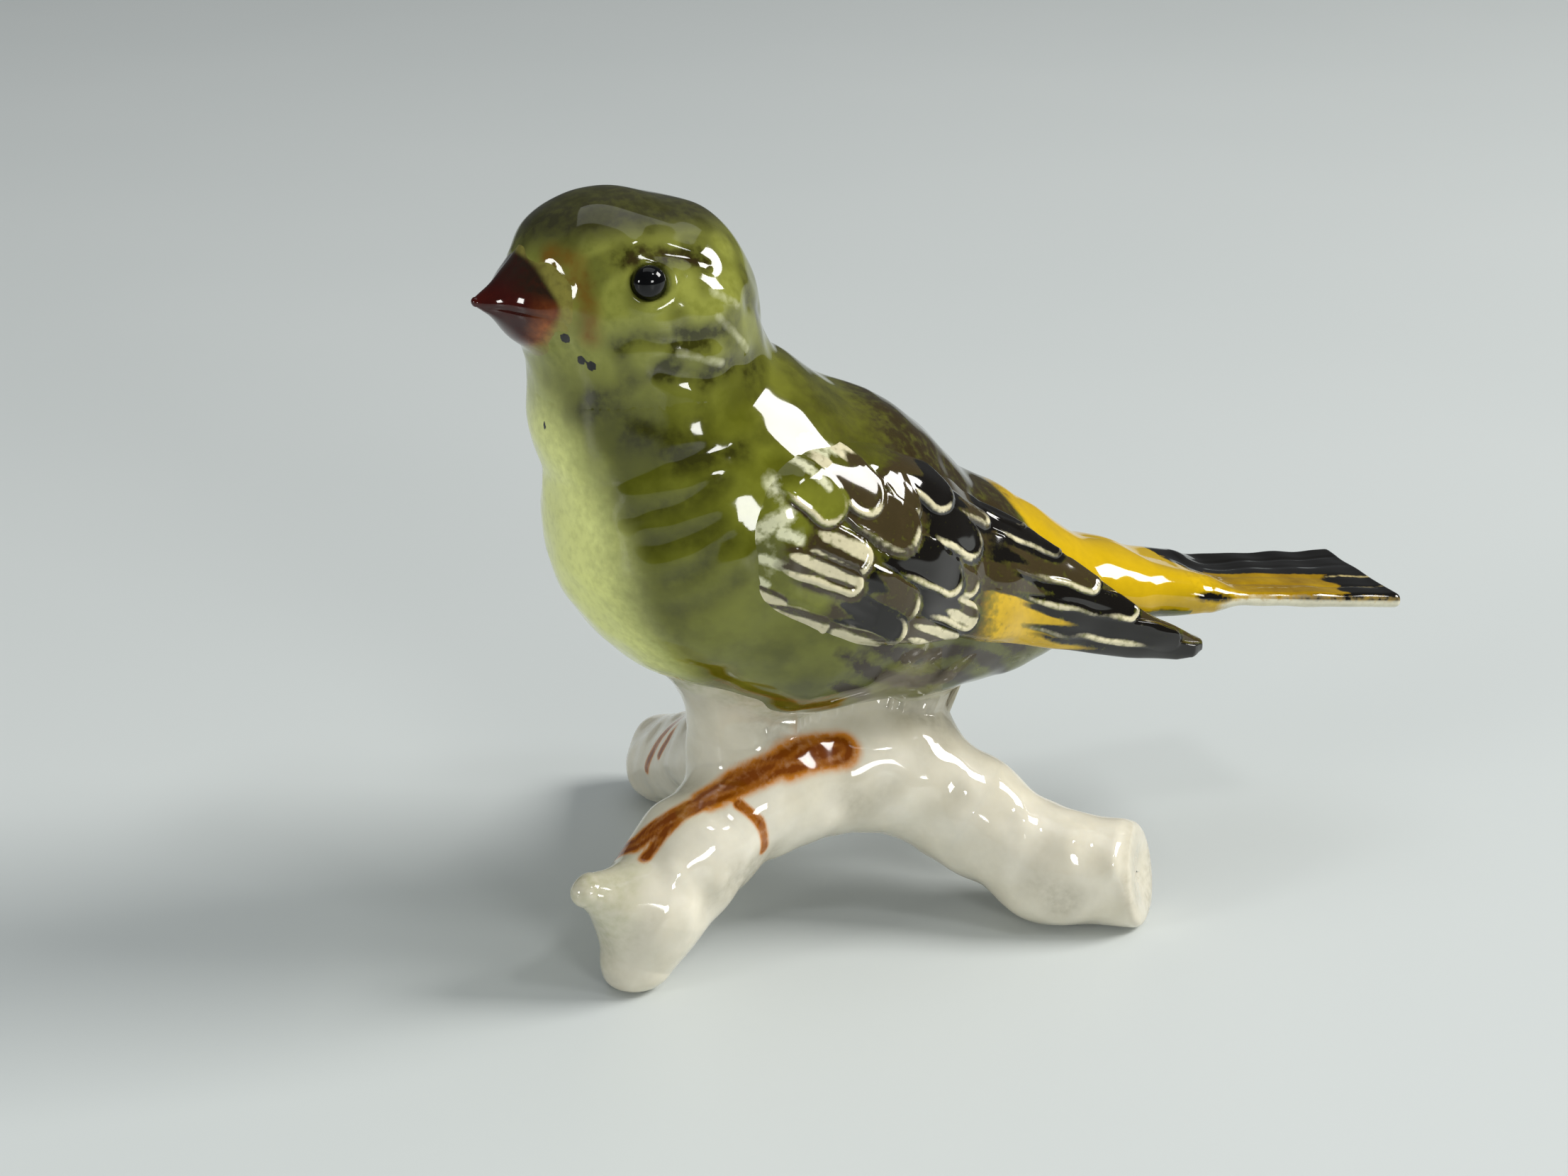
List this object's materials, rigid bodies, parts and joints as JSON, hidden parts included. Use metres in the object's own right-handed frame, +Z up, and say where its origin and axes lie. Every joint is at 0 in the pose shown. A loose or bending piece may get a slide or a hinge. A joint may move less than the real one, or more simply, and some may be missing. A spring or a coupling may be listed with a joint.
{
  "type": "porcelain bird figurine",
  "caption": "Glazed porcelain greenfinch standing on a white branch with three flat feet, painted in olive, yellow and black.",
  "frame": {"origin": "on the table, under the middle of the figurine's outer box", "axes": "+X from the beak to the tail, -Y the bird's left side, +Z up"},
  "size_m": [0.0881, 0.0481, 0.0701],
  "materials": {
    "olive_glaze": "high gloss over mottled olive and lime underglaze paint",
    "beak_glaze": "high gloss over mahogany red paint",
    "black_enamel": "high gloss black bead",
    "wing_glaze": "high gloss over black, cream and yellow feather paint",
    "tail_glaze": "high gloss over black and yellow paint",
    "white_glaze": "high gloss ivory white with rust brown brush strokes"
  },
  "bodies": {
    "root": {"body": "olive_glaze", "head": "olive_glaze", "beak": "beak_glaze", "left_eye": "black_enamel", "right_eye": "black_enamel", "left_wing": "wing_glaze", "right_wing": "wing_glaze", "tail": "tail_glaze", "left_foot": "white_glaze", "right_foot": "white_glaze", "trunk": "white_glaze", "front_bough": "white_glaze", "twig_stub": "white_glaze", "right_bough": "white_glaze", "back_bough": "white_glaze"}
  },
  "joints": []
}
